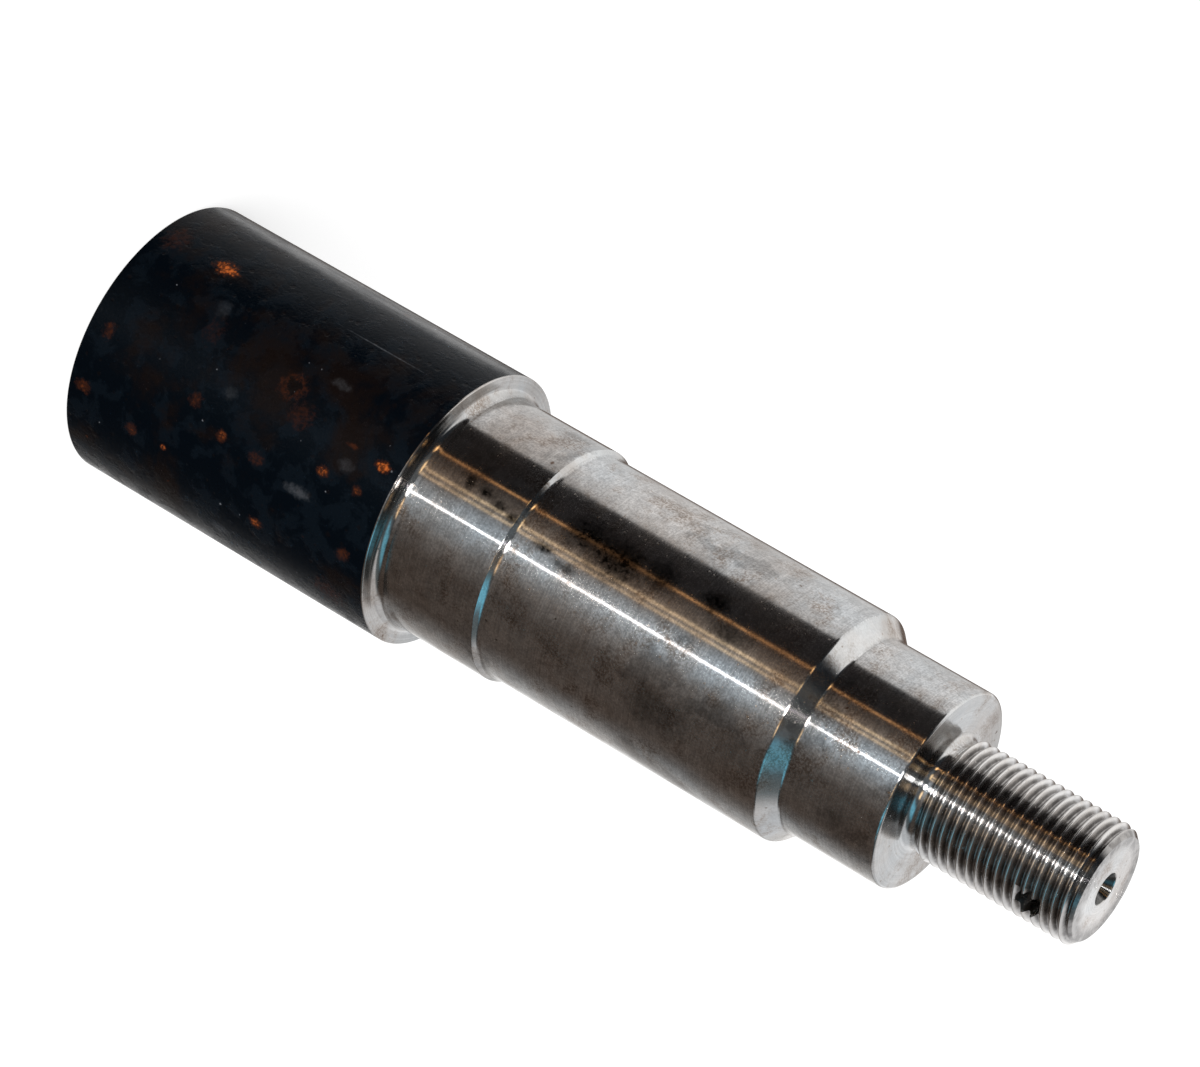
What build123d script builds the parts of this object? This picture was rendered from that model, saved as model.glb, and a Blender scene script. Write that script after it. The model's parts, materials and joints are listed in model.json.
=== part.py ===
"""Stepped shaft: a hub spindle turned in one piece from a round steel bar.

From the foot up it has the bar as rolled, a seal seat, a long inner bearing seat, a shorter outer bearing
seat, a thread relief and a threaded nose. It has a cross hole for a split pin and a centre hole in its end.
The shaft stands on the sawn face of the bar: the origin is the middle of that face, and +Z runs to the nose.
"""

from build123d import *
from math import radians, tan
import os

os.makedirs("parts", exist_ok=True)

# Bar as rolled, which is welded or clamped into the axle.
bar_diameter = 85.0
bar_length = 110.0
bar_shoulder_edge_break = 0.5

# Inner bearing seat. Its length starts at the end of the seal seat and counts the ramp between the two.
inner_seat_diameter = 70.0
inner_seat_length = 96.0

# Seal seat, a low land between the bar's shoulder and the inner bearing seat.
seal_seat_rise = 1.5
seal_seat_length = 34.0
bar_shoulder_fillet = 3.0
seal_ramp_fillet = 2.0

# Outer bearing seat. Its length starts at the end of the inner seat and counts the cone between the two.
outer_seat_diameter = 60.0
outer_seat_length = 36.0
cone_edge_break = 0.6
cone_foot_fillet = 1.6
nose_shoulder_chamfer = 1.0

# Metric thread, right-handed. Its length runs from the foot of the lead-in to the end face.
thread_diameter = 36.0
thread_pitch = 3.0
thread_angle = 60.0
thread_length = 50.8
thread_lead_in = 1.6
thread_end_chamfer = 2.25

# Thread relief, turned below the root of the thread so that the tool runs out into it.
relief_clearance = 0.36
relief_fillet = 3.0
relief_land = 0.2

# Cross hole for the split pin that locks the nut.
pin_hole_diameter = 8.0
pin_hole_from_end = 13.25

# Centre hole left by the lathe's tailstock: a cone over a pilot drilling.
centre_pilot_diameter = 4.0
centre_pilot_depth = 10.0
centre_cone_width = 3.0
centre_cone_angle = 60.0

# Standard proportions of the thread, as shares of its pitch.
thread_depth = 0.6134 * thread_pitch
crest_width = 0.125 * thread_pitch
groove_overcut = 0.06 * thread_pitch

# Radii, and heights above the foot.
bar_radius = bar_diameter / 2
inner_seat_radius = inner_seat_diameter / 2
seal_seat_radius = inner_seat_radius + seal_seat_rise
outer_seat_radius = outer_seat_diameter / 2
thread_radius = thread_diameter / 2
thread_root_radius = thread_radius - thread_depth
relief_radius = thread_root_radius - relief_clearance

bar_shoulder_z = bar_length
seal_seat_end_z = bar_shoulder_z + seal_seat_length
seal_ramp_foot_z = seal_seat_end_z + seal_seat_rise
inner_seat_end_z = seal_seat_end_z + inner_seat_length
cone_foot_z = inner_seat_end_z + inner_seat_radius - outer_seat_radius
nose_shoulder_z = inner_seat_end_z + outer_seat_length
relief_end_z = nose_shoulder_z + relief_fillet + relief_land
shaft_end_z = relief_end_z + thread_length
pin_hole_z = shaft_end_z - pin_hole_from_end

# One turn of the groove between the thread's flanks. It has a flat root, and its flanks run out a little past
# the crest without reaching the next turn. The first turn starts in the relief and the last ends beyond the
# end face.
flank_slope = tan(radians(thread_angle / 2))
groove_outer_radius = thread_radius + groove_overcut
groove_outer_half = (thread_pitch - crest_width) / 2 + groove_overcut * flank_slope
groove_root_half = (thread_pitch - crest_width) / 2 - thread_depth * flank_slope
groove_start_z = relief_end_z - relief_land - groove_root_half - relief_clearance
groove_turns = int((shaft_end_z + groove_outer_half - groove_start_z) / thread_pitch) + 1

with BuildPart() as groove_turn:
    with BuildLine(Plane.XY.offset(groove_start_z)) as helix:
        Helix(thread_pitch, thread_pitch, thread_root_radius)
    with BuildSketch(Plane.XZ):
        with BuildLine():
            Polyline(
                (thread_root_radius, groove_start_z - groove_root_half),
                (groove_outer_radius, groove_start_z - groove_outer_half),
                (groove_outer_radius, groove_start_z + groove_outer_half),
                (thread_root_radius, groove_start_z + groove_root_half),
                close=True,
            )
        make_face()
    sweep(path=helix.line, is_frenet=True)


def corner(outline, radius, height):
    """The corner of the turned outline at the given radius and height."""
    return outline.vertices().sort_by_distance((radius, height))[0]


with BuildPart() as stepped_shaft:
    # Turned outline, from the axis out along the foot, up the steps and back in along the end face.
    with BuildSketch(Plane.XZ) as outline:
        with BuildLine():
            Polyline(
                (0, 0),
                (bar_radius, 0),
                (bar_radius, bar_shoulder_z),
                (seal_seat_radius, bar_shoulder_z),
                (seal_seat_radius, seal_seat_end_z),
                (inner_seat_radius, seal_ramp_foot_z),
                (inner_seat_radius, inner_seat_end_z),
                (outer_seat_radius, cone_foot_z),
                (outer_seat_radius, nose_shoulder_z),
                (relief_radius, nose_shoulder_z),
                (relief_radius, relief_end_z),
                (thread_radius, relief_end_z + thread_lead_in),
                (thread_radius, shaft_end_z),
                (0, shaft_end_z),
                close=True,
            )
        make_face()

        # Tool radii at the feet of the steps. The bar's takes up half the height of its shoulder at most.
        bar_foot_fillet = min(bar_shoulder_fillet, (bar_radius - seal_seat_radius) / 2)
        fillet(corner(outline, seal_seat_radius, bar_shoulder_z), bar_foot_fillet)
        fillet(corner(outline, inner_seat_radius, seal_ramp_foot_z), seal_ramp_fillet)
        fillet(corner(outline, outer_seat_radius, cone_foot_z), cone_foot_fillet)
        fillet(corner(outline, relief_radius, nose_shoulder_z), relief_fillet)

        # Broken edges.
        chamfer(corner(outline, bar_radius, bar_shoulder_z), bar_shoulder_edge_break)
        chamfer(corner(outline, inner_seat_radius, inner_seat_end_z), cone_edge_break)
        chamfer(corner(outline, outer_seat_radius, nose_shoulder_z), nose_shoulder_chamfer)
        chamfer(corner(outline, thread_radius, shaft_end_z), thread_end_chamfer)
    revolve(axis=Axis.Z)

    # Thread, cut one turn above another.
    with Locations([(0, 0, turn * thread_pitch) for turn in range(groove_turns)]):
        add(groove_turn.part, mode=Mode.SUBTRACT)

    # Centre hole in the end face.
    with Locations((0, 0, shaft_end_z)):
        CounterSinkHole(
            centre_pilot_diameter / 2,
            centre_pilot_diameter / 2 + centre_cone_width,
            centre_pilot_depth,
            centre_cone_angle,
        )

    # Cross hole, drilled right through from the front.
    with Locations(Plane.XZ.offset(thread_radius)):
        with Locations((0, pin_hole_z)):
            Hole(pin_hole_diameter / 2, thread_diameter)

stepped_shaft.part.label = "stepped_shaft"
export_step(stepped_shaft.part, "parts/stepped_shaft.step")
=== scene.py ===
"""Stepped shaft: the finished look of a hub spindle that is turned in one piece from a black rolled bar.

The shaft stands on its sawn foot, with the threaded nose up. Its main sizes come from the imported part: the
spans and radii of the seats are those of the part's own mounts. All lengths are in metres.
"""

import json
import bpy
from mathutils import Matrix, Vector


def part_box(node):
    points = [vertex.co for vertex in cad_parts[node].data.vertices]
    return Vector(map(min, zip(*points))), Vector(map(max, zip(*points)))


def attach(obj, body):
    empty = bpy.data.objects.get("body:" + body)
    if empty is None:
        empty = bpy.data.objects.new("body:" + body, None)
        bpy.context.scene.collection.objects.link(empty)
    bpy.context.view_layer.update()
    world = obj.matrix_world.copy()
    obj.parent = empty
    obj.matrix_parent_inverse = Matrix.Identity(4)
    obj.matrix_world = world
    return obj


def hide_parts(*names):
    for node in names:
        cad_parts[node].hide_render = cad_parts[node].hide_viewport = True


bl_info = {
    "name": "Stepped Shaft",
    "version": (1, 0, 0),
    "blender": (4, 5, 0),
    "location": "View3D > Sidebar > Shaft",
    "description": "Turns the stepped shaft, finishes it and sets it in a plain studio",
    "category": "Object",
}

from math import cos, pi, radians, sin, tan

import bmesh
import bpy
from bpy.props import FloatProperty, FloatVectorProperty, IntProperty, PointerProperty
from mathutils import Matrix, Vector

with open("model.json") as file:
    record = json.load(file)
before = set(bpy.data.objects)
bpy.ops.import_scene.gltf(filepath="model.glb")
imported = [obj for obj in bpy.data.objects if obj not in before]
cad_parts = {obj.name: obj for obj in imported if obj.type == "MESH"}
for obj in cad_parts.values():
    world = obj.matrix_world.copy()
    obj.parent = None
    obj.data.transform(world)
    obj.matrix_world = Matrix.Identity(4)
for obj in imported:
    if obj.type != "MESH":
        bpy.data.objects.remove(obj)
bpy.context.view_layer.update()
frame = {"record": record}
shaft_low, shaft_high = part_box("stepped_shaft")
mounts = {mount["name"]: mount for mount in frame["record"]["mounts"]}


# Points closer together than this are one point.
touching = 1e-6

# Slope of the thread's flanks and of the centre hole's cone, which both open at 60 degrees.
sixty_degree_slope = tan(radians(30))

# The nose is turned this much too large, for the thread to be cut into it.
nose_allowance = 0.0003

# Faces that meet at more than this stay sharp.
sharp_angle = radians(24)


def mount_radius(name):
    """Radius of a round mount."""
    return mounts[name]["dims"]["r_mm"] / 1000


def mount_span(name):
    """Lowest and highest point of the wall of a round mount on the shaft's axis."""
    middle = mounts[name]["pos_m"][2]
    half = mounts[name]["dims"]["length_mm"] / 2000
    return middle - half, middle + half


# Properties that a user would change.


def length(name, description, default):
    """A length in metres."""
    return FloatProperty(
        name=name, description=description, default=default, min=0.0, unit="LENGTH", precision=5
    )


def angle(name, description, default):
    """An angle in radians, shown in degrees."""
    return FloatProperty(name=name, description=description, default=default, subtype="ANGLE")


def amount(name, description, default, least=0.0):
    """A number that has a least value."""
    return FloatProperty(name=name, description=description, default=default, min=least)


def face_count(name, description, default):
    """How many faces go round something."""
    return IntProperty(name=name, description=description, default=default, min=32)


def colour(name, description, default):
    """A colour as red, green and blue from 0 to 1."""
    return FloatVectorProperty(
        name=name, description=description, default=default, size=3, min=0.0, max=1.0, subtype="COLOR"
    )


class ShaftSizes(bpy.types.PropertyGroup):
    """Edges and thread of the shaft."""

    bar_foot_fillet: length("Bar foot fillet", "Tool radius at the foot of the bar's shoulder", 0.003)
    bar_edge_break: length("Bar edge break", "Broken edge round the bar's shoulder", 0.0005)
    ramp_fillet: length("Ramp fillet", "Tool radius between the ramp and the inner seat", 0.002)
    cone_edge_break: length("Cone edge break", "Broken edge between the inner seat and the cone", 0.0006)
    cone_foot_fillet: length("Cone foot fillet", "Tool radius between the cone and the outer seat", 0.0016)
    nose_edge_break: length("Nose edge break", "Broken edge round the nose's shoulder", 0.001)
    relief_fillet: length("Relief fillet", "Tool radius at the foot of the nose's shoulder", 0.003)
    relief_radius: length("Relief radius", "Radius of the thread relief", 0.0158)
    relief_land: length("Relief land", "Straight part of the relief above its fillet", 0.0002)
    small_edge: length("Small edge", "Wear on the remaining edges", 0.00015)
    thread_pitch: length("Thread pitch", "Rise of the thread in one turn", 0.003)
    thread_depth: length("Thread depth", "From the crest to the root", 0.00184)
    thread_crest: length("Thread crest", "Width of the flat on the crest", 0.000375)
    thread_start: length("Thread start", "Height of the groove's middle on the +X side", 0.27839)
    thread_corner: length("Thread corner", "Rounding of the crest's and the root's corners", 0.00016)
    end_chamfer: length("End chamfer", "Chamfer at the end of the thread", 0.00225)
    centre_mouth_radius: length("Centre hole mouth", "Radius of the centre hole at the end face", 0.005)
    centre_pilot_radius: length("Centre hole pilot", "Radius of the centre hole's pilot drilling", 0.002)
    centre_pilot_depth: length("Centre hole depth", "Depth of the pilot drilling below the end face", 0.01)
    turning_steps: face_count("Turning steps", "Faces round the shaft", 256)
    thread_steps: face_count("Thread steps", "Faces round one turn of the thread", 160)


class ShaftFinish(bpy.types.PropertyGroup):
    """Colours of the shaft's surfaces."""

    steel: colour("Turned steel", "Clean turned steel", (0.73, 0.705, 0.68))
    cool_steel: colour("Cooler steel", "Where the turned steel looks cooler", (0.69, 0.705, 0.71))
    stain: colour("Stain", "Brown film on the turned steel", (0.36, 0.28, 0.22))
    cloud: colour("Clouds", "Tint of the dull clouds on the turned steel", (0.70, 0.62, 0.56))
    speck: colour("Specks", "Small rust specks on the turned steel", (0.12, 0.07, 0.045))
    # Grimy oil in the thread's grooves, with painted shade there too.
    groove_dirt_and_shade: colour("Grime", "Oil and dirt in the thread's grooves", (0.17, 0.16, 0.155))
    skin: colour("Rolled skin", "Black skin of the rolled bar", (0.0010, 0.0027, 0.0050))
    skin_flake: colour("Flaked skin", "Greyer flakes of the rolled skin", (0.0046, 0.0088, 0.0140))
    skin_brown: colour("Brown skin", "Browner patches of the rolled skin", (0.0085, 0.0042, 0.0026))
    rust: colour("Rust", "Dark rust on the bar", (0.060, 0.016, 0.006))
    fresh_rust: colour("Fresh rust", "Orange rust on the bar", (0.56, 0.13, 0.025))
    scuff: colour("Scuffs", "Pale scuffs and dust on the bar", (0.20, 0.21, 0.23))


class ShaftStudio(bpy.types.PropertyGroup):
    """Camera, floor and light."""

    aim: FloatVectorProperty(
        name="Aim",
        description="Point that the camera looks at",
        default=(-0.01275, 0.00852, 0.15370),
        subtype="TRANSLATION",
        unit="LENGTH",
    )
    distance: length("Distance", "From the camera to its aim", 1.40246)
    azimuth: angle("Azimuth", "Bearing of the camera from its aim", radians(-143.354))
    elevation: angle("Elevation", "Height of the camera over the level", radians(24.5036))
    roll: angle("Roll", "Turn of the camera about its line of sight", radians(120.051))
    lens: amount("Lens", "Focal length in millimetres on a 36 mm wide sensor", 151.69, 1.0)
    floor_colour: colour("Floor", "Pale floor", (0.62, 0.62, 0.62))
    floor_radius: length("Floor radius", "Size of the floor", 6.0)
    soft_light: amount("Soft light", "Level of the even light from all round", 0.8)
    key_power: amount("Key power", "Watts of the large soft lamp overhead", 14.0)


# Editing helpers.


def select_only(piece):
    """Deselects everything, then selects one piece and makes it active."""
    bpy.ops.object.select_all(action="DESELECT")
    piece.select_set(True)
    bpy.context.view_layer.objects.active = piece


def pick_vertices(piece, wanted):
    """In edit mode, selects just the vertices whose place passes the test, and counts them."""
    bpy.ops.mesh.select_mode(type="VERT")
    mesh = bmesh.from_edit_mesh(piece.data)
    count = 0
    for vertex in mesh.verts:
        vertex.select = bool(wanted(vertex.co))
        count += vertex.select
    mesh.select_flush_mode()
    bmesh.update_edit_mesh(piece.data)
    return count


def pick_edges(piece, wanted):
    """In edit mode, selects just the edges that pass the test."""
    bpy.ops.mesh.select_mode(type="EDGE")
    mesh = bmesh.from_edit_mesh(piece.data)
    for element in (*mesh.faces, *mesh.edges, *mesh.verts):
        element.select = False
    for edge in mesh.edges:
        if wanted(edge):
            edge.select_set(True)
    bmesh.update_edit_mesh(piece.data)


def start_path(name, radius, height):
    """A new piece that is a single vertex in the XZ plane, left in edit mode."""
    bpy.ops.object.select_all(action="DESELECT")
    bpy.ops.mesh.primitive_plane_add(size=0.001, location=(0, 0, 0))
    piece = bpy.context.object
    piece.name = piece.data.name = name
    bpy.ops.object.mode_set(mode="EDIT")
    bpy.ops.mesh.select_all(action="SELECT")
    bpy.ops.mesh.merge(type="CENTER")
    bpy.ops.transform.translate(value=(radius, 0, height))
    return piece


def draw_path(points):
    """Extrudes the selected vertex along the points, each a radius and a height."""
    for (from_radius, from_height), (to_radius, to_height) in zip(points, points[1:]):
        step = (to_radius - from_radius, 0, to_height - from_height)
        bpy.ops.mesh.extrude_vertices_move(TRANSFORM_OT_translate={"value": step})


def round_corner(piece, radius, height, reach, segments):
    """Bevels one corner of a path, given by its radius and height. The bevel takes up the reach each way."""
    corner = Vector((radius, 0, height))
    if pick_vertices(piece, lambda place: (place - corner).length < touching) != 1:
        raise RuntimeError(f"no single corner at radius {radius:.5f} and height {height:.5f}")
    bpy.ops.mesh.bevel(offset=reach, segments=segments, affect="VERTICES", profile=0.5)


def close_skin():
    """Merges doubles and turns all the faces outwards, in edit mode."""
    bpy.ops.mesh.select_all(action="SELECT")
    bpy.ops.mesh.remove_doubles(threshold=touching)
    bpy.ops.mesh.normals_make_consistent(inside=False)


def cut_away(piece, tool):
    """Cuts the tool's shape out of the piece and throws the tool away."""
    select_only(piece)
    cut = piece.modifiers.new("cut", "BOOLEAN")
    cut.operation = "DIFFERENCE"
    cut.solver = "MANIFOLD"
    cut.object = tool
    bpy.ops.object.modifier_apply(modifier=cut.name)
    bpy.data.objects.remove(tool, do_unlink=True)


# The shaft.


def turn_blank(sizes):
    """The turned blank, spun from its outline, with a nose that is a little too large."""
    bar = mount_radius("bar")
    seal = mount_radius("seal_seat")
    inner = mount_radius("inner_bearing_seat")
    outer = mount_radius("outer_bearing_seat")
    crest = mount_radius("nut_thread")
    foot, end = shaft_low[2], shaft_high[2]
    shoulder = mount_span("seal_seat")[0] - sizes.bar_foot_fillet
    seal_end = mount_span("seal_seat")[1]
    ramp_foot = seal_end + seal - inner
    cone_top = mount_span("inner_bearing_seat")[1] + sizes.cone_edge_break
    cone_foot = cone_top + inner - outer
    nose = mount_span("outer_bearing_seat")[1] + sizes.nose_edge_break
    relief = sizes.relief_radius
    relief_end = nose + sizes.relief_fillet + sizes.relief_land
    lead_in_end = mount_span("nut_thread")[0]
    large = crest + nose_allowance
    lead_in_top = lead_in_end + nose_allowance * (lead_in_end - relief_end) / (crest - relief)
    chamfer_foot = end - sizes.end_chamfer - nose_allowance
    centre_cone_foot = end - (sizes.centre_mouth_radius - sizes.centre_pilot_radius) / sixty_degree_slope
    pilot_floor = end - sizes.centre_pilot_depth

    outline = [
        (0, foot),
        (bar, foot),
        (bar, shoulder),
        (seal, shoulder),
        (seal, seal_end),
        (inner, ramp_foot),
        (inner, cone_top),
        (outer, cone_foot),
        (outer, nose),
        (relief, nose),
        (relief, relief_end),
        (large, lead_in_top),
        (large, chamfer_foot),
        (crest - sizes.end_chamfer, end),
        (sizes.centre_mouth_radius, end),
        (sizes.centre_pilot_radius, centre_cone_foot),
        (sizes.centre_pilot_radius, pilot_floor),
        (0, pilot_floor),
    ]
    # A fillet at the foot of a 45 degree slope takes up this share of its radius each way.
    slope_reach = tan(radians(22.5))
    corners = [
        (bar, foot, sizes.small_edge, 2),
        (bar, shoulder, sizes.bar_edge_break, 3),
        (seal, shoulder, sizes.bar_foot_fillet, 10),
        (seal, seal_end, sizes.small_edge, 2),
        (inner, ramp_foot, sizes.ramp_fillet * slope_reach, 6),
        (inner, cone_top, sizes.cone_edge_break, 4),
        (outer, cone_foot, sizes.cone_foot_fillet * slope_reach, 6),
        (outer, nose, sizes.nose_edge_break, 4),
        (relief, nose, sizes.relief_fillet, 10),
        (crest - sizes.end_chamfer, end, sizes.small_edge, 2),
        (sizes.centre_mouth_radius, end, sizes.small_edge, 2),
    ]
    shaft = start_path("stepped_shaft_turned", *outline[0])
    draw_path(outline)
    for radius, height, reach, segments in corners:
        round_corner(shaft, radius, height, reach, segments)
    bpy.ops.mesh.select_all(action="SELECT")
    bpy.ops.mesh.spin(steps=sizes.turning_steps, angle=2 * pi, center=(0, 0, 0), axis=(0, 0, 1))
    close_skin()
    bpy.ops.object.mode_set(mode="OBJECT")
    return shaft


def thread_die(sizes):
    """A ring with the thread on its inside: one pitch of the groove, screwed up the nose and walled in."""
    crest_radius = mount_radius("nut_thread")
    root_radius = crest_radius - sizes.thread_depth
    crest_half = sizes.thread_crest / 2
    root_half = sizes.thread_pitch / 2 - crest_half - sizes.thread_depth * sixty_degree_slope
    first = sizes.thread_start - sizes.thread_pitch
    outline = [
        (crest_radius, first - sizes.thread_pitch / 2),
        (crest_radius, first - sizes.thread_pitch / 2 + crest_half),
        (root_radius, first - root_half),
        (root_radius, first + root_half),
        (crest_radius, first + sizes.thread_pitch / 2 - crest_half),
        (crest_radius, first + sizes.thread_pitch / 2),
    ]
    nose = mount_span("outer_bearing_seat")[1] + sizes.nose_edge_break
    lowest = nose + sizes.relief_fillet + sizes.relief_land / 2
    highest = shaft_high[2] + 0.001
    spare_turns = 3
    wall_ratio = 1.6
    die = start_path("thread_die", *outline[0])
    draw_path(outline)
    for radius, height in outline[1:-1]:
        round_corner(die, radius, height, sizes.thread_corner, 3)
    bpy.ops.object.mode_set(mode="OBJECT")

    select_only(die)
    helix = die.modifiers.new("helix", "SCREW")
    helix.axis = "Z"
    helix.angle = 2 * pi
    helix.screw_offset = sizes.thread_pitch
    helix.iterations = int((highest - first) / sizes.thread_pitch) + spare_turns
    helix.steps = helix.render_steps = sizes.thread_steps
    bpy.ops.object.modifier_apply(modifier=helix.name)

    bpy.ops.object.mode_set(mode="EDIT")
    bpy.ops.mesh.select_all(action="SELECT")
    bpy.ops.mesh.remove_doubles(threshold=touching)

    # Both ends are cut off level, and the wall is drawn out from them and closed.
    bpy.ops.mesh.bisect(plane_co=(0, 0, lowest), plane_no=(0, 0, 1), clear_inner=True)
    bpy.ops.mesh.select_all(action="SELECT")
    bpy.ops.mesh.bisect(plane_co=(0, 0, highest), plane_no=(0, 0, 1), clear_outer=True)
    pick_edges(die, lambda edge: edge.is_boundary)
    bpy.ops.mesh.extrude_edges_move(TRANSFORM_OT_translate={"value": (0, 0, 0)})
    bpy.ops.transform.resize(value=(wall_ratio, wall_ratio, 1), center_override=(0, 0, lowest))
    pick_edges(die, lambda edge: edge.is_boundary)
    bpy.ops.mesh.bridge_edge_loops()
    close_skin()
    bpy.ops.object.mode_set(mode="OBJECT")
    return die


def pin_drill():
    """The drill for the split pin's cross hole, long enough to go right through."""
    bpy.ops.object.select_all(action="DESELECT")
    bpy.ops.mesh.primitive_cylinder_add(
        vertices=64,
        radius=mount_radius("split_pin_hole"),
        depth=0.06,
        location=mounts["split_pin_hole"]["pos_m"],
        rotation=(pi / 2, 0, 0),
    )
    drill = bpy.context.object
    drill.name = "pin_drill"
    bpy.ops.object.transform_apply(location=True, rotation=True, scale=True)
    return drill


def hand_out_finishes(shaft, materials):
    """Gives each face its finish: sawn foot, rolled skin on the bar, and turned steel elsewhere."""
    names = ("turned_steel", "rolled_skin", "sawn_face")
    steel, skin, sawn = range(len(names))
    shaft.data.materials.clear()
    for name in names:
        shaft.data.materials.append(materials[name])
    skin_end = mount_span("bar")[1]
    nearly_bar = 0.9 * mount_radius("bar")
    for face in shaft.data.polygons:
        middle = face.center
        if middle.z < shaft_low[2] + touching:
            face.material_index = sawn
        elif middle.z < skin_end and middle.xy.length > nearly_bar:
            face.material_index = skin
        else:
            face.material_index = steel


class SHAFT_OT_stepped_shaft(bpy.types.Operator):
    """Turns the shaft, cuts its thread and cross hole and gives it its finishes"""

    bl_idname = "shaft.stepped_shaft"
    bl_label = "Stepped shaft"

    def execute(self, context):
        sizes = context.scene.shaft_sizes
        shaft = turn_blank(sizes)
        cut_away(shaft, thread_die(sizes))
        cut_away(shaft, pin_drill())
        select_only(shaft)
        hand_out_finishes(shaft, make_finishes(context.scene.shaft_finish))
        bpy.ops.object.shade_smooth_by_angle(angle=sharp_angle)
        even = shaft.modifiers.new("even_shading", "WEIGHTED_NORMAL")
        even.keep_sharp = True
        bpy.ops.object.modifier_apply(modifier=even.name)
        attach(shaft, "root")
        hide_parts("stepped_shaft")
        return {"FINISHED"}


# Node helpers.


def add_node(tree, kind, inputs=None, **settings):
    """Adds a node with its settings. Each input, by name or number, is a value or a socket to link from."""
    node = tree.nodes.new(kind)
    for name, value in settings.items():
        setattr(node, name, value)
    for key, value in (inputs or {}).items():
        if isinstance(value, bpy.types.NodeSocket):
            tree.links.new(value, node.inputs[key])
        else:
            node.inputs[key].default_value = value
    return node


def calc(tree, operation, *values):
    """The result of a Math node."""
    return add_node(tree, "ShaderNodeMath", dict(enumerate(values)), operation=operation).outputs[0]


def times(tree, first, *others):
    """The product of several values."""
    for other in others:
        first = calc(tree, "MULTIPLY", first, other)
    return first


def most(tree, first, *others):
    """The greatest of several values."""
    for other in others:
        first = calc(tree, "MAXIMUM", first, other)
    return first


def total(tree, start, *terms):
    """A start value and the terms that are added to it, each a value and its weight."""
    for value, weight in terms:
        start = calc(tree, "MULTIPLY_ADD", value, weight, start)
    return start


def lessen(tree, value, mask, depth):
    """Takes a share of the value away where the mask shows."""
    return times(tree, value, calc(tree, "SUBTRACT", 1.0, times(tree, mask, depth)))


def spread(tree, value, low, high, to_low=0.0, to_high=1.0):
    """Maps low..high to to_low..to_high with soft ends."""
    inputs = {"Value": value, "From Min": low, "From Max": high, "To Min": to_low, "To Max": to_high}
    return add_node(tree, "ShaderNodeMapRange", inputs, interpolation_type="SMOOTHSTEP").outputs[0]


def soft_step(tree, value, edge, blur):
    """Rises from 0 to 1 between a blur before the edge and a blur after it. A blur below 0 makes it fall."""
    return spread(tree, value, calc(tree, "SUBTRACT", edge, blur), calc(tree, "ADD", edge, blur))


def parts_of(tree, vector):
    """The three parts of a vector."""
    return add_node(tree, "ShaderNodeSeparateXYZ", {0: vector}).outputs


def vector_of(tree, *parts):
    """A vector from its parts; those left out are nought."""
    return add_node(tree, "ShaderNodeCombineXYZ", dict(enumerate(parts))).outputs[0]


def vector_calc(tree, operation, first, second):
    """The vector that a Vector Math node makes of two others."""
    return add_node(tree, "ShaderNodeVectorMath", {0: first, 1: second}, operation=operation).outputs[0]


def size_of(tree, vector):
    """The length of a vector."""
    return add_node(tree, "ShaderNodeVectorMath", {0: vector}, operation="LENGTH").outputs["Value"]


def noise_texture(tree, place, scale, detail, roughness=0.5, distortion=0.0):
    """The outputs of a noise texture: its level and its colour."""
    inputs = {"Vector": place, "Scale": scale, "Detail": detail, "Roughness": roughness}
    return add_node(tree, "ShaderNodeTexNoise", {**inputs, "Distortion": distortion}).outputs


def bump(tree, height, strength, distance, over=None):
    """A normal for a surface with the given height, over another normal where there is one."""
    inputs = {"Height": height, "Strength": strength, "Distance": distance}
    if over is not None:
        inputs["Normal"] = over
    return add_node(tree, "ShaderNodeBump", inputs).outputs[0]


def blend_colours(tree, share, first, second, blend_type="MIX"):
    """Mixes two colours, each given as three numbers or a socket."""
    first, second = (
        value if isinstance(value, bpy.types.NodeSocket) else (*value, 1.0) for value in (first, second)
    )
    inputs = {0: share, 6: first, 7: second}
    return add_node(tree, "ShaderNodeMix", inputs, data_type="RGBA", blend_type=blend_type).outputs[2]


def darken(tree, tint, shade):
    """A colour multiplied by a shade from black at 0 to white at 1."""
    grey = add_node(tree, "ShaderNodeCombineColor", {0: shade, 1: shade, 2: shade}).outputs[0]
    return blend_colours(tree, 1.0, tint, grey, "MULTIPLY")


def new_group(name, **inputs):
    """A node group that makes a Mask, with its inputs by name. One with None for its default is a vector."""
    group = bpy.data.node_groups.new(name, "ShaderNodeTree")
    for label, default in inputs.items():
        kind = "NodeSocketVector" if default is None else "NodeSocketFloat"
        socket = group.interface.new_socket(label.replace("_", " "), in_out="INPUT", socket_type=kind)
        if default is not None:
            socket.default_value = default
    group.interface.new_socket("Mask", in_out="OUTPUT", socket_type="NodeSocketFloat")
    given = group.nodes.new("NodeGroupInput").outputs
    return group, given, group.nodes.new("NodeGroupOutput").inputs["Mask"]


def use_group(tree, group, **values):
    """Places a group in a tree; underscores in the input names stand for spaces."""
    inputs = {name.replace("_", " "): value for name, value in values.items()}
    return add_node(tree, "ShaderNodeGroup", inputs, node_tree=group).outputs[0]


def blotches_group():
    """Blotches where noise is above the level Cover. Edge is the softness of their edges."""
    group, given, mask = new_group("blotches", Vector=None, Scale=60.0, Cover=0.5, Edge=0.1)
    noise = noise_texture(group, given["Vector"], given["Scale"], 7.0, 0.62, 0.3)[0]
    group.links.new(soft_step(group, noise, given["Cover"], given["Edge"]), mask)
    return group


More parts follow.
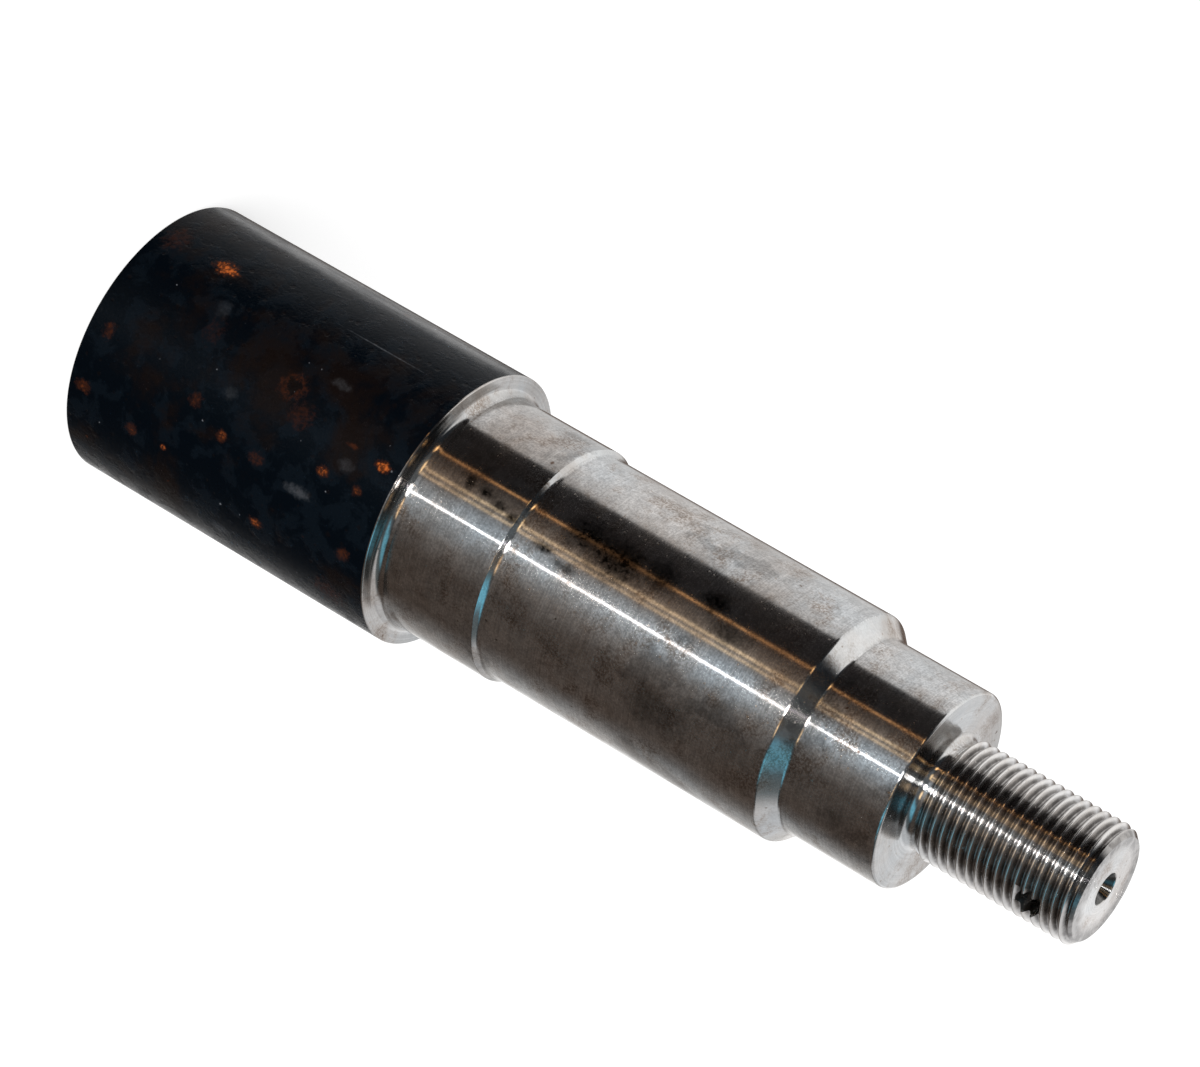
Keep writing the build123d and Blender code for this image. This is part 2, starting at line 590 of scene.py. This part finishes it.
def specks_group():
    """Scattered specks. Spacing is the distance between their places, Share is how many places have one."""
    group, given, mask = new_group("specks", Vector=None, Spacing=0.003, Size=0.2, Share=0.3)
    scale = calc(group, "DIVIDE", 1.0, given["Spacing"])

    # The places are moved about a little, so that the specks are ragged.
    ragged = noise_texture(group, given["Vector"], times(group, scale, 3.0), 2.0)["Color"]
    reach = times(group, given["Spacing"], 0.35)
    moved = vector_calc(group, "ADD", given["Vector"], vector_calc(group, "MULTIPLY", ragged, reach))
    cells = add_node(group, "ShaderNodeTexVoronoi", {"Vector": moved, "Scale": scale}).outputs
    chance = add_node(group, "ShaderNodeSeparateColor", {0: cells["Color"]}).outputs
    present = calc(group, "LESS_THAN", chance[0], given["Share"])
    size = times(group, given["Size"], calc(group, "ADD", chance[1], 0.3))
    shape = spread(group, cells["Distance"], size, times(group, size, 0.4))
    group.links.new(times(group, present, shape), mask)
    return group


def bloom_group():
    """A ragged patch round a centre, with half sizes across and along the shaft. Hollow makes it a ring."""
    group, given, mask = new_group(
        "bloom", Vector=None, Centre=None, Across=0.004, Along=0.004, Ragged=0.5, Hollow=0.0
    )
    offset = vector_calc(group, "SUBTRACT", given["Vector"], given["Centre"])
    reach = vector_of(group, given["Across"], given["Across"], given["Along"])
    away = size_of(group, vector_calc(group, "DIVIDE", offset, reach))
    noise = noise_texture(group, given["Vector"], 520.0, 6.0, 0.7)[0]
    wander = times(group, calc(group, "SUBTRACT", noise, 0.5), given["Ragged"], 4.0)
    ragged = calc(group, "ADD", away, wander)
    filled = lessen(group, 1.0, spread(group, ragged, 0.75, 0.35), given["Hollow"])
    group.links.new(times(group, spread(group, ragged, 1.5, 0.3), filled), mask)
    return group


# Finishes.

# Marks are patches on a seat, each with its height above the foot, its bearing round the axis in degrees, its
# half width, its half length and its strength. These are the dark smudges, by the seat that they are on.
smudge_marks = {
    "inner_bearing_seat": (
        (0.164, -164, 0.0055, 0.0075, 1.00),
        (0.175, -161, 0.0065, 0.0100, 1.00),
        (0.188, -165, 0.0045, 0.0060, 0.90),
        (0.206, -167, 0.0034, 0.0045, 1.00),
        (0.214, -157, 0.0024, 0.0060, 0.75),
        (0.155, -149, 0.0013, 0.0034, 1.00),
        (0.163, -146, 0.0012, 0.0040, 0.90),
        (0.205, -108, 0.0060, 0.0100, 0.45),
        (0.178, 60, 0.0060, 0.0120, 0.60),
        (0.210, 5, 0.0050, 0.0080, 0.55),
    ),
    "seal_seat": (
        (0.1262, -158, 0.0026, 0.0016, 1.00),
        (0.1318, -157, 0.0015, 0.0026, 1.00),
        (0.1375, -155, 0.0015, 0.0028, 1.00),
        (0.1425, -153, 0.0013, 0.0020, 1.00),
    ),
    "outer_bearing_seat": (
        (0.262, -100, 0.0040, 0.0050, 0.40),
        (0.268, 30, 0.0040, 0.0050, 0.50),
    ),
}
# Spots of rust on the bar.
rust_marks = (
    (0.0250, 178, 0.0026, 0.0040, 1.00),
    (0.0060, 177, 0.0060, 0.0045, 0.30),
    (0.0740, -145, 0.0045, 0.0050, 0.30),
    (0.0360, -156, 0.0050, 0.0040, 0.22),
    (0.0930, -145, 0.0008, 0.0030, 0.45),
    (0.1040, -144, 0.0016, 0.0026, 0.92),
    (0.0880, -131, 0.0016, 0.0020, 0.72),
    (0.1000, -131, 0.0016, 0.0018, 0.60),
    (0.0420, -130, 0.0022, 0.0024, 0.45),
    (0.0540, -123, 0.0018, 0.0018, 0.62),
    (0.0670, -122, 0.0024, 0.0030, 0.36),
    (0.0070, -136, 0.0030, 0.0020, 0.45),
    (0.0240, -105, 0.0020, 0.0022, 0.55),
    (0.0360, -105, 0.0011, 0.0012, 0.75),
    (0.0050, -111, 0.0022, 0.0030, 0.55),
    (0.0710, -96, 0.0019, 0.0024, 0.66),
    (0.1020, -105, 0.0024, 0.0026, 0.48),
    (0.0970, -81, 0.0060, 0.0065, 0.28),
    (0.0600, 40, 0.0026, 0.0040, 0.80),
    (0.0300, 95, 0.0045, 0.0030, 0.45),
    (0.0850, -20, 0.0022, 0.0034, 0.60),
)
# Rings of rust on the bar, as drops of water leave them.
rust_rings = (
    (0.0670, -153, 0.0040, 0.0042, 0.55),
    (0.0480, 15, 0.0040, 0.0046, 0.50),
)
# Scratches and scuffs on the bar.
scuff_marks = (
    (0.0800, 174.4, 0.00025, 0.0120, 0.30),
    (0.0830, -119, 0.0016, 0.0040, 0.22),
    (0.0940, -137, 0.0018, 0.0022, 0.10),
    (0.0790, -163, 0.0014, 0.0030, 0.10),
    (0.0340, -166, 0.0024, 0.0020, 0.08),
    (0.0510, -139, 0.0016, 0.0020, 0.08),
    (0.0570, -80, 0.0020, 0.0030, 0.12),
    (0.0200, 60, 0.0003, 0.0200, 0.35),
)
# The smear of oil along one side of the bar.
oil_smear = ((0.0560, 142, 0.0060, 0.0700, 0.75),)


def marks(tree, place, bloom, seat, table, ragged, hollow=0.0):
    """All the marks of a table on one seat, as one mask."""
    reach = mount_radius(seat)
    masks = []
    for height, bearing, across, along, strength in table:
        centre = (reach * cos(radians(bearing)), reach * sin(radians(bearing)), height)
        mask = use_group(
            tree, bloom, Vector=place, Centre=centre, Across=across, Along=along, Ragged=ragged, Hollow=hollow
        )
        masks.append(times(tree, mask, strength))
    return most(tree, *masks)


def start_material(name):
    """A new material, with its tree, its shader and the place on the surface."""
    material = bpy.data.materials.new(name)
    material.use_nodes = True
    tree = material.node_tree
    shader = tree.nodes["Principled BSDF"]
    place = tree.nodes.new("ShaderNodeTexCoord").outputs["Object"]
    return material, tree, shader, place


def axis_distance(tree, place):
    """Distance from the shaft's axis."""
    parts = parts_of(tree, place)
    return size_of(tree, vector_of(tree, parts[0], parts[1]))


def turning_rings(tree, place, spacing):
    """Fine rings left by the lathe tool on walls, cones and faces, which hardly change on their way round."""
    parts = parts_of(tree, place)
    travel = calc(tree, "DIVIDE", calc(tree, "ADD", parts[2], axis_distance(tree, place)), spacing)
    ring_place = vector_of(tree, times(tree, parts[0], 25.0), times(tree, parts[1], 25.0), travel)
    return noise_texture(tree, ring_place, 1.0, 3.0, 0.6)[0]


def steel_places(tree, place):
    """Masks of the places on the turned steel that look different, by name."""
    parts = parts_of(tree, place)
    across, height = parts[0], parts[2]
    radius = axis_distance(tree, place)
    upward = parts_of(tree, tree.nodes.new("ShaderNodeTexCoord").outputs["Normal"])[2]
    nose_foot = mount_span("nut_thread")[0] - 0.0005
    threaded = times(tree, calc(tree, "GREATER_THAN", height, nose_foot), spread(tree, radius, 0.010, 0.0145))

    # The bottoms of the thread's grooves, from a little below the crests.
    crest = mount_radius("nut_thread")
    groove = times(tree, threaded, spread(tree, radius, crest - 0.0004, crest - 0.0013))

    # The centre hole, which is rougher and has painted shade in its colour.
    below_end = calc(tree, "LESS_THAN", height, shaft_high[2] - 0.0003)
    centre_hole = times(tree, below_end, calc(tree, "LESS_THAN", radius, 0.0055))
    over_pin = calc(tree, "SUBTRACT", height, mounts["split_pin_hole"]["pos_m"][2])
    off_pin = size_of(tree, vector_of(tree, across, over_pin))
    below_nose = calc(tree, "LESS_THAN", height, nose_foot)
    return {
        "threaded": threaded,
        "groove": groove,
        "centre_hole": centre_hole,
        "cross_hole": calc(tree, "LESS_THAN", off_pin, mount_radius("split_pin_hole") + 0.00004),
        "seal_seat": calc(tree, "LESS_THAN", height, mount_span("seal_seat")[1]),
        "shoulder": times(tree, spread(tree, upward, 0.9, 0.98), below_nose),
        "worn": lessen(tree, most(tree, spread(tree, upward, 0.9, 0.3), 0.35), threaded, 0.6),
    }


def turned_steel(finish, blotches, specks, bloom):
    """Turned steel with lathe rings, a brown film, dull clouds, dark smudges, specks, a grimy thread with
    painted shade in its grooves, and painted shade in the centre hole.
    """
    material, tree, shader, place = start_material("turned_steel")
    rings = turning_rings(tree, place, 0.0004)
    film = use_group(tree, blotches, Vector=place, Scale=85.0, Cover=0.57, Edge=0.09)
    mottle = use_group(tree, blotches, Vector=place, Scale=300.0, Cover=0.5, Edge=0.11)
    clouds = use_group(tree, blotches, Vector=place, Scale=34.0, Cover=0.52, Edge=0.08)
    patches = use_group(tree, blotches, Vector=place, Scale=24.0, Cover=0.60, Edge=0.02)
    drift = use_group(tree, blotches, Vector=place, Scale=22.0, Cover=0.5, Edge=0.12)
    grain = use_group(tree, blotches, Vector=place, Scale=1500.0, Cover=0.5, Edge=0.10)
    grit = use_group(tree, blotches, Vector=place, Scale=800.0, Cover=0.52, Edge=0.05)
    rust = use_group(tree, specks, Vector=place, Spacing=0.0046, Size=0.13, Share=0.28)
    dust = use_group(tree, specks, Vector=place, Spacing=0.0014, Size=0.28, Share=0.25)
    at = steel_places(tree, place)
    smudges = [marks(tree, place, bloom, seat, table, 0.45) for seat, table in smudge_marks.items()]
    dark = most(tree, *smudges, times(tree, patches, 0.4))
    dark = times(tree, dark, spread(tree, grit, 0.0, 1.0, 0.75, 1.0))

    # Colour: the clean steel, then what lies on it, then grimy oil and painted shade in the thread's grooves.
    clean = blend_colours(tree, drift, finish.steel, finish.cool_steel)
    gritty_film = times(tree, film, spread(tree, grain, 0.0, 1.0, 0.35, 1.0))
    filmed = blend_colours(tree, times(tree, gritty_film, 0.80), clean, finish.stain)
    clouded = blend_colours(tree, times(tree, clouds, 0.55), filmed, finish.cloud, "MULTIPLY")
    shade = spread(tree, rings, 0.3, 0.7, 0.80, 1.0)
    for mask, depth in (
        (times(tree, mottle, at["worn"]), 0.17),
        (times(tree, grain, at["worn"]), 0.25),
        (dark, 0.96),
        (at["shoulder"], 0.28),
        # Painted shade in the centre hole.
        (at["centre_hole"], 0.75),
        (at["seal_seat"], 0.12),
    ):
        shade = lessen(tree, shade, mask, depth)
    dusty = blend_colours(tree, times(tree, dust, 0.5), darken(tree, clouded, shade), finish.stain)
    rusted = blend_colours(tree, times(tree, rust, 0.85), dusty, finish.speck)
    rubbed = blend_colours(tree, times(tree, at["threaded"], 0.6), rusted, finish.steel)
    # Grimy oil and painted shade, darker deep in the thread's grooves.
    dirt_and_shade = times(tree, at["groove"], spread(tree, mottle, 0.0, 1.0, 0.55, 0.85))
    tree.links.new(blend_colours(tree, dirt_and_shade, rubbed, finish.groove_dirt_and_shade), shader.inputs["Base Color"])

    rough = total(
        tree,
        0.08,
        (rings, 0.08),
        (film, 0.05),
        (clouds, 0.04),
        (at["centre_hole"], 0.15),
        (at["cross_hole"], 0.10),
        (at["seal_seat"], -0.03),
        (most(tree, rust, dust), 0.20),
        (most(tree, at["groove"], dark), 0.04),
    )
    tree.links.new(rough, shader.inputs["Roughness"])

    # Relief: fine rings over slow waves. The thread is smoother.
    waved = bump(tree, noise_texture(tree, place, 45.0, 1.0)[0], 1.0, 0.00003)
    fine = lessen(tree, total(tree, rings, (grain, 0.10)), at["threaded"], 0.75)
    tree.links.new(bump(tree, fine, 0.30, 0.00002, waved), shader.inputs["Normal"])

    # The rings stretch reflections across the turning, along the shaft.
    shader.inputs["Metallic"].default_value = 1.0
    shader.inputs["Anisotropic"].default_value = 1.0
    shader.inputs["Anisotropic Rotation"].default_value = 0.25
    tangent = add_node(tree, "ShaderNodeTangent", direction_type="RADIAL", axis="Z")
    tree.links.new(tangent.outputs[0], shader.inputs["Tangent"])
    return material


def rolled_skin(finish, blotches, specks, bloom):
    """Blue-black rolled skin with brown patches, spots and rings of rust, scuffs, pits and a smear of oil."""
    material, tree, shader, place = start_material("rolled_skin")
    patches = use_group(tree, blotches, Vector=place, Scale=42.0, Cover=0.57, Edge=0.08)
    flakes = use_group(tree, blotches, Vector=place, Scale=130.0, Cover=0.53, Edge=0.05)
    grit = use_group(tree, blotches, Vector=place, Scale=900.0, Cover=0.5, Edge=0.13)
    pits = use_group(tree, specks, Vector=place, Spacing=0.0030, Size=0.30, Share=0.45)
    dust = use_group(tree, specks, Vector=place, Spacing=0.0034, Size=0.095, Share=0.15)
    small_rust = use_group(tree, specks, Vector=place, Spacing=0.0090, Size=0.13, Share=0.35)

    crumbled = spread(tree, grit, 0.0, 1.0, 0.58, 1.0)
    spots = marks(tree, place, bloom, "bar", rust_marks, 0.55)
    rings = marks(tree, place, bloom, "bar", rust_rings, 0.55, hollow=1.0)
    rust = times(tree, most(tree, spots, rings, times(tree, small_rust, 0.5)), crumbled)
    scuffs = times(tree, marks(tree, place, bloom, "bar", scuff_marks, 0.55), crumbled)

    base = blend_colours(tree, times(tree, flakes, 0.45), finish.skin, finish.skin_flake)
    browned = blend_colours(tree, times(tree, patches, 0.7), base, finish.skin_brown)
    pitted = blend_colours(tree, times(tree, pits, 0.3), browned, finish.skin_brown)
    rusty = blend_colours(tree, spread(tree, rust, 0.05, 0.65), pitted, finish.rust)
    fresh = blend_colours(tree, spread(tree, rust, 0.45, 1.0), rusty, finish.fresh_rust)
    pale = most(tree, scuffs, times(tree, dust, 0.7))
    tree.links.new(blend_colours(tree, pale, fresh, finish.scuff), shader.inputs["Base Color"])

    rough = total(tree, 0.17, (flakes, 0.10), (patches, 0.08), (rust, 0.40), (grit, 0.06))
    tree.links.new(rough, shader.inputs["Roughness"])
    shader.inputs["Specular IOR Level"].default_value = 0.05

    smear = marks(tree, place, bloom, "bar", oil_smear, 0.25)
    drawn_out = add_node(tree, "ShaderNodeMapping", {"Vector": place, "Scale": (1.0, 1.0, 0.06)}).outputs[0]
    streaks = use_group(tree, blotches, Vector=drawn_out, Scale=420.0, Cover=0.48, Edge=0.16)
    oil = times(tree, smear, spread(tree, streaks, 0.0, 1.0, 0.35, 1.0))
    tree.links.new(oil, shader.inputs["Coat Weight"])
    shader.inputs["Coat Roughness"].default_value = 0.22

    relief = total(tree, 0.0, (flakes, 0.6), (pits, -1.0), (rust, 0.8), (grit, 0.35))
    tree.links.new(bump(tree, relief, 0.6, 0.00013), shader.inputs["Normal"])
    return material


def sawn_face(finish, blotches, specks):
    """Sawn end of the bar: dull steel with straight saw lines and a start of rust."""
    material, tree, shader, place = start_material("sawn_face")
    parts = parts_of(tree, place)
    lines_place = vector_of(tree, times(tree, parts[0], 20.0), calc(tree, "DIVIDE", parts[1], 0.0007))
    lines = noise_texture(tree, lines_place, 1.0, 3.0)[0]
    film = use_group(tree, blotches, Vector=place, Scale=55.0, Cover=0.46, Edge=0.14)
    rust = use_group(tree, specks, Vector=place, Spacing=0.0040, Size=0.35, Share=0.40)
    sawn = darken(tree, finish.steel, spread(tree, lines, 0.35, 0.65, 0.45, 0.85))
    stained = blend_colours(tree, times(tree, film, 0.8), sawn, finish.stain)
    tree.links.new(blend_colours(tree, rust, stained, finish.speck), shader.inputs["Base Color"])
    tree.links.new(total(tree, 0.35, (lines, 0.2), (film, 0.1)), shader.inputs["Roughness"])
    tree.links.new(bump(tree, lines, 0.6, 0.00006), shader.inputs["Normal"])
    shader.inputs["Metallic"].default_value = 1.0
    return material


def make_finishes(finish):
    """All the shaft's materials by name."""
    blotches, specks, bloom = blotches_group(), specks_group(), bloom_group()
    return {
        "turned_steel": turned_steel(finish, blotches, specks, bloom),
        "rolled_skin": rolled_skin(finish, blotches, specks, bloom),
        "sawn_face": sawn_face(finish, blotches, specks),
    }


# Studio.

# What the bright steel mirrors: bearing, half width, softness, lowest and highest elevation, and light. The
# angles are in degrees. A panel covers those before it.
studio_panels = {
    "brown wall": (-72, 46, 14.0, -90, 18, (0.112, 0.090, 0.077)),
    "ceiling": (-118, 64, 12.0, 26, 76, (0.14, 0.155, 0.165)),
    "far ceiling": (-38, 20, 10.0, 26, 76, (0.13, 0.16, 0.17)),
    "backdrop": (96, 44, 2.0, -90, 24, (1.00, 1.00, 1.01)),
    "backdrop's shaded side": (138, 8, 18.0, -90, 24, (0.63, 0.61, 0.60)),
    "upper backdrop": (98, 43, 3.0, 0, 57, (1.22, 1.22, 1.22)),
    "wing": (32, 42, 34.0, -90, 20, (0.72, 0.71, 0.70)),
    "wing's bright edge": (28, 10, 8.0, -90, 20, (1.05, 1.04, 1.03)),
    "upper wing": (20, 44, 5.0, 2, 60, (1.14, 1.15, 1.17)),
    "upper wing's shaded side": (-10, 20, 8.0, 2, 60, (0.74, 0.75, 0.77)),
    "gap": (47, 8, 4.0, -90, 8, (0.16, 0.12, 0.10)),
    "dark corner": (160, 20, 1.5, -90, 24, (0.030, 0.027, 0.027)),
    "glow's tail": (-115, 6, 24.0, -90, 20, (0.36, 0.345, 0.335)),
    "warm glow": (-162, 5, 18.0, -90, 20, (0.43, 0.34, 0.275)),
    "window glow": (-137, 13, 14.0, -90, 20, (0.71, 0.78, 0.84)),
    "tube lamp": (-138, 0.8, 0.5, -90, 50, (5.5, 5.5, 5.6)),
    "tube lamp's end": (-138, 0.9, 0.7, 56, 80, (1.7, 1.6, 1.85)),
    "first warm lamp": (-161.5, 1.3, 1.2, -90, 30, (1.05, 0.78, 0.51)),
    "second warm lamp": (-156.0, 1.3, 1.2, -90, 30, (0.95, 0.73, 0.51)),
    "orange lamp": (178.6, 1.0, 0.7, -90, 34, (0.85, 0.43, 0.18)),
    "orange lamp's end": (178, 2.5, 1.5, 20, 36, (3.6, 2.1, 0.9)),
    "left gold lamp": (-162, 5, 3.0, 22, 35, (3.0, 2.1, 1.15)),
    "right gold lamp": (-120, 8, 4.0, 22, 35, (2.9, 2.05, 1.2)),
    "strip lamp": (-138, 4, 2.5, 22, 35, (44.0, 44.0, 44.0)),
    "blue door": (-78, 16, 8.0, 20, 62, (0.22, 0.62, 0.82)),
}


def panel_group():
    """How much of a panel is seen in a direction, with soft edges all round."""
    group, given, mask = new_group(
        "studio_panel",
        Bearing=0.0,
        Elevation=0.0,
        Middle=0.0,
        Half_Width=0.0,
        Softness=0.0,
        Lowest=0.0,
        Highest=0.0,
    )
    turn = calc(group, "SUBTRACT", given["Bearing"], given["Middle"])
    off = calc(group, "ABSOLUTE", calc(group, "WRAP", turn, 180.0, -180.0))
    sideways = soft_step(group, off, given["Half Width"], times(group, given["Softness"], -1.0))
    over = soft_step(group, given["Elevation"], given["Lowest"], 5.0)
    under = soft_step(group, given["Elevation"], given["Highest"], -8.0)
    group.links.new(times(group, sideways, over, under), mask)
    return group


def light_the_room(scene, studio):
    """White to the camera, plain light on matt surfaces, and a room with pale panels in the bright steel."""
    world = bpy.data.worlds.new("studio")
    scene.world = world
    world.use_nodes = True
    world.cycles.sampling_method = "NONE"
    tree = world.node_tree
    tree.nodes.clear()
    towards = parts_of(tree, tree.nodes.new("ShaderNodeTexCoord").outputs["Generated"])
    bearing = calc(tree, "DEGREES", calc(tree, "ARCTAN2", towards[1], towards[0]))
    elevation = calc(tree, "DEGREES", calc(tree, "ARCSINE", towards[2]))

    dark_below, dark_above = (0.050, 0.042, 0.040), (0.026, 0.030, 0.035)
    room = blend_colours(tree, spread(tree, elevation, 0.0, 30.0), dark_below, dark_above)
    panel = panel_group()
    for middle, half_width, softness, lowest, highest, light in studio_panels.values():
        mask = use_group(
            tree,
            panel,
            Bearing=bearing,
            Elevation=elevation,
            Middle=middle,
            Half_Width=half_width,
            Softness=softness,
            Lowest=lowest,
            Highest=highest,
        )
        room = blend_colours(tree, mask, room, light)

    white = (1, 1, 1, 1)
    mirrored = add_node(tree, "ShaderNodeBackground", {"Color": room}).outputs[0]
    even = add_node(tree, "ShaderNodeBackground", {"Color": white, "Strength": studio.soft_light}).outputs[0]
    plain = add_node(tree, "ShaderNodeBackground", {"Color": white, "Strength": 1.0}).outputs[0]
    rays = tree.nodes.new("ShaderNodeLightPath").outputs
    lit = add_node(tree, "ShaderNodeMixShader", {0: rays["Is Glossy Ray"], 1: even, 2: mirrored}).outputs[0]
    seen = add_node(tree, "ShaderNodeMixShader", {0: rays["Is Camera Ray"], 1: lit, 2: plain}).outputs[0]
    add_node(tree, "ShaderNodeOutputWorld", {"Surface": seen})


def lay_floor(studio):
    """A pale round floor that keeps the shaft's soft shadow, is white elsewhere, and is clear from below."""
    under_foot = shaft_low[2] - 0.0001
    bpy.ops.object.select_all(action="DESELECT")
    bpy.ops.mesh.primitive_circle_add(
        vertices=96, radius=studio.floor_radius, fill_type="NGON", location=(0, 0, under_foot)
    )
    floor = bpy.context.object
    floor.name = "floor"
    bpy.ops.object.transform_apply(location=True, rotation=True, scale=True)
    floor.visible_glossy = False
    material = bpy.data.materials.new("pale_floor")
    material.use_nodes = True
    tree = material.node_tree
    shader = tree.nodes["Principled BSDF"]
    shader.inputs["Base Color"].default_value = (*studio.floor_colour, 1.0)
    shader.inputs["Roughness"].default_value = 0.9
    shader.inputs["Specular IOR Level"].default_value = 0.0
    shader.inputs["Emission Color"].default_value = (1, 1, 1, 1)
    to_camera = tree.nodes.new("ShaderNodeLightPath").outputs["Is Camera Ray"]
    tree.links.new(times(tree, to_camera, 0.55), shader.inputs["Emission Strength"])
    underside = tree.nodes.new("ShaderNodeNewGeometry").outputs["Backfacing"]
    clear = tree.nodes.new("ShaderNodeBsdfTransparent").outputs[0]
    seen = add_node(tree, "ShaderNodeMixShader", {0: underside, 1: shader.outputs[0], 2: clear})
    tree.links.new(seen.outputs[0], tree.nodes["Material Output"].inputs["Surface"])
    floor.data.materials.append(material)


def hang_key_lamp(scene, studio):
    """A large soft lamp overhead that throws the shaft's shadow on the floor."""
    data = bpy.data.lights.new("key_lamp", "AREA")
    data.shape = "DISK"
    data.size = 0.9
    data.energy = studio.key_power
    lamp = bpy.data.objects.new("key_lamp", data)
    scene.collection.objects.link(lamp)
    lamp.location = (-0.5, -0.9, 1.5)
    middle_of_shaft = Vector((0, 0, 0.12))
    lamp.rotation_euler = (middle_of_shaft - lamp.location).to_track_quat("-Z", "Y").to_euler()
    lamp.visible_glossy = False


def set_camera(scene, studio):
    """The camera, turned about its line of sight so that the shaft lies across the picture."""
    aim = Vector(studio.aim)
    flat = cos(studio.elevation)
    out = Vector((flat * cos(studio.azimuth), flat * sin(studio.azimuth), sin(studio.elevation)))
    level = Vector((0, 0, 1)).cross(out).normalized()
    upright = out.cross(level)
    right = cos(studio.roll) * level + sin(studio.roll) * upright
    up = cos(studio.roll) * upright - sin(studio.roll) * level
    data = bpy.data.cameras.new("camera")
    data.sensor_width = 36.0
    data.lens = studio.lens
    camera = bpy.data.objects.new("camera", data)
    scene.collection.objects.link(camera)
    camera.location = aim + studio.distance * out
    camera.rotation_euler = Matrix((right, up, out)).transposed().to_euler()
    scene.camera = camera


class SHAFT_OT_studio(bpy.types.Operator):
    """Sets the camera, the floor and the light"""

    bl_idname = "shaft.studio"
    bl_label = "Studio"

    def execute(self, context):
        scene = context.scene
        studio = scene.shaft_studio
        scene.view_settings.view_transform = "Standard"
        set_camera(scene, studio)
        lay_floor(studio)
        hang_key_lamp(scene, studio)
        light_the_room(scene, studio)
        return {"FINISHED"}


class SHAFT_PT_panel(bpy.types.Panel):
    """Buttons for the shaft and its studio"""

    bl_label = "Stepped Shaft"
    bl_idname = "SHAFT_PT_panel"
    bl_space_type = "VIEW_3D"
    bl_region_type = "UI"
    bl_category = "Shaft"

    def draw(self, context):
        layout = self.layout
        layout.operator("shaft.stepped_shaft")
        layout.operator("shaft.studio")
        for group in (context.scene.shaft_sizes, context.scene.shaft_finish, context.scene.shaft_studio):
            box = layout.box()
            for name in group.bl_rna.properties.keys():
                if name not in ("rna_type", "name"):
                    box.prop(group, name)


classes = (ShaftSizes, ShaftFinish, ShaftStudio, SHAFT_OT_stepped_shaft, SHAFT_OT_studio, SHAFT_PT_panel)


def register():
    """Makes the classes and their properties known to Blender."""
    for item in classes:
        bpy.utils.register_class(item)
    bpy.types.Scene.shaft_sizes = PointerProperty(type=ShaftSizes)
    bpy.types.Scene.shaft_finish = PointerProperty(type=ShaftFinish)
    bpy.types.Scene.shaft_studio = PointerProperty(type=ShaftStudio)


def unregister():
    """Takes the properties and the classes away again."""
    del bpy.types.Scene.shaft_studio
    del bpy.types.Scene.shaft_finish
    del bpy.types.Scene.shaft_sizes
    for item in reversed(classes):
        bpy.utils.unregister_class(item)


def main():
    register()
    bpy.ops.shaft.stepped_shaft()
    bpy.ops.shaft.studio()


if __name__ == "__main__":
    main()
